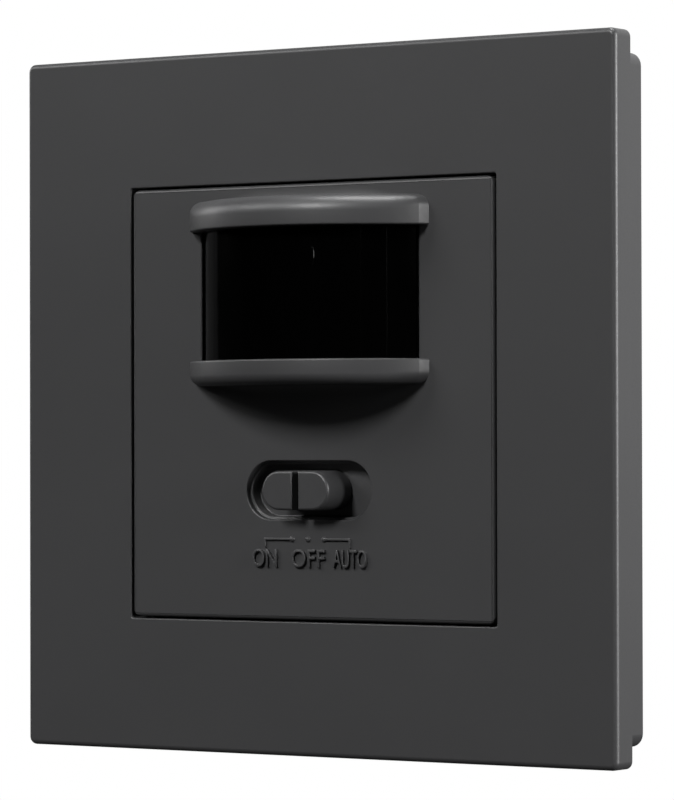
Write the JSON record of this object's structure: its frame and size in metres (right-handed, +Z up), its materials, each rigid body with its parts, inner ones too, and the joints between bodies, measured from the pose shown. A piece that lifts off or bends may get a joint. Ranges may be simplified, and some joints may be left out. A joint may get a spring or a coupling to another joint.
{
  "type": "motion sensor light switch",
  "caption": "Flush wall switch with an infrared motion sensor: a bowed dark lens between two visors over a mode slide, in a square frame, on a steel support ring with a boxed insert behind.",
  "frame": {"origin": "middle of the pattern of box screws, in the wall plane on which the frame and the support ring stand", "axes": "+Y into the wall, so that the front faces -Y; +Z up; +X to the right of someone who looks at the front"},
  "size_m": [0.08, 0.0445, 0.08],
  "materials": {
    "anthracite_plastic": "anthracite moulded thermoplastic with a fine matt texture",
    "lens_plastic": "black infrared-transparent polyethylene, smooth outside, in flat segments inside",
    "housing_plastic": "black moulded housing plastic",
    "zinc_steel": "zinc-plated steel",
    "phenolic_brown": "brown phenolic switch base",
    "board_laminate": "green solder mask on glass-fibre laminate",
    "filter_window": "dark infrared filter",
    "cell_ceramic": "ceramic disc with a light-sensitive film",
    "trimmer_blue": "blue moulded component plastic",
    "dial_ivory": "ivory moulded plastic",
    "relay_blue": "blue relay case",
    "film_yellow": "yellow film capacitor case",
    "can_sleeve": "black shrink sleeve on an aluminium can",
    "fuse_glass": "glass tube fuse",
    "contact_brass": "bright brass contacts",
    "terminal_grey": "light grey terminal plastic"
  },
  "bodies": {
    "insert": {"front_frame": "anthracite_plastic", "wall_frame": "anthracite_plastic", "cover_plate": "anthracite_plastic", "pir_lens": "lens_plastic", "lens_retainer": "housing_plastic", "switch_shell": "zinc_steel", "switch_base": "phenolic_brown", "sensor_board": "board_laminate", "pir_sensor": "zinc_steel", "sensor_filter": "filter_window", "light_cell": "cell_ceramic", "time_trimmer": "trimmer_blue", "lux_trimmer": "trimmer_blue", "control_chip": "housing_plastic", "board_screws": "zinc_steel", "support_ring": "zinc_steel", "ring_screws": "zinc_steel", "housing_tray": "housing_plastic", "housing_cup": "housing_plastic", "housing_screws": "zinc_steel", "power_board": "board_laminate", "relay": "relay_blue", "dropper_capacitor": "film_yellow", "smoothing_capacitor": "can_sleeve", "varistor": "trimmer_blue", "fuse": "fuse_glass", "rectifier": "housing_plastic", "board_link": "contact_brass", "terminal_block": "terminal_grey", "terminal_clamps": "contact_brass", "terminal_screws": "zinc_steel"},
    "mode_slider": {"slide_knob": "anthracite_plastic", "switch_lever": "housing_plastic"},
    "time_setting": {"time_dial": "dial_ivory"},
    "lux_setting": {"lux_dial": "dial_ivory"}
  },
  "joints": [
    {"name": "mode_slide", "type": "slide", "parent": "insert", "child": "mode_slider", "axis": [1, 0, 0], "range_m": [-0.0022, 0.0022]},
    {"name": "time_set", "type": "hinge", "parent": "insert", "child": "time_setting", "pos_m": [-0.0135, -0.004, -0.014], "axis": [0, 1, 0], "range_deg": [-135, 135]},
    {"name": "lux_set", "type": "hinge", "parent": "insert", "child": "lux_setting", "pos_m": [0.0135, -0.004, -0.014], "axis": [0, 1, 0], "range_deg": [-135, 135]}
  ]
}
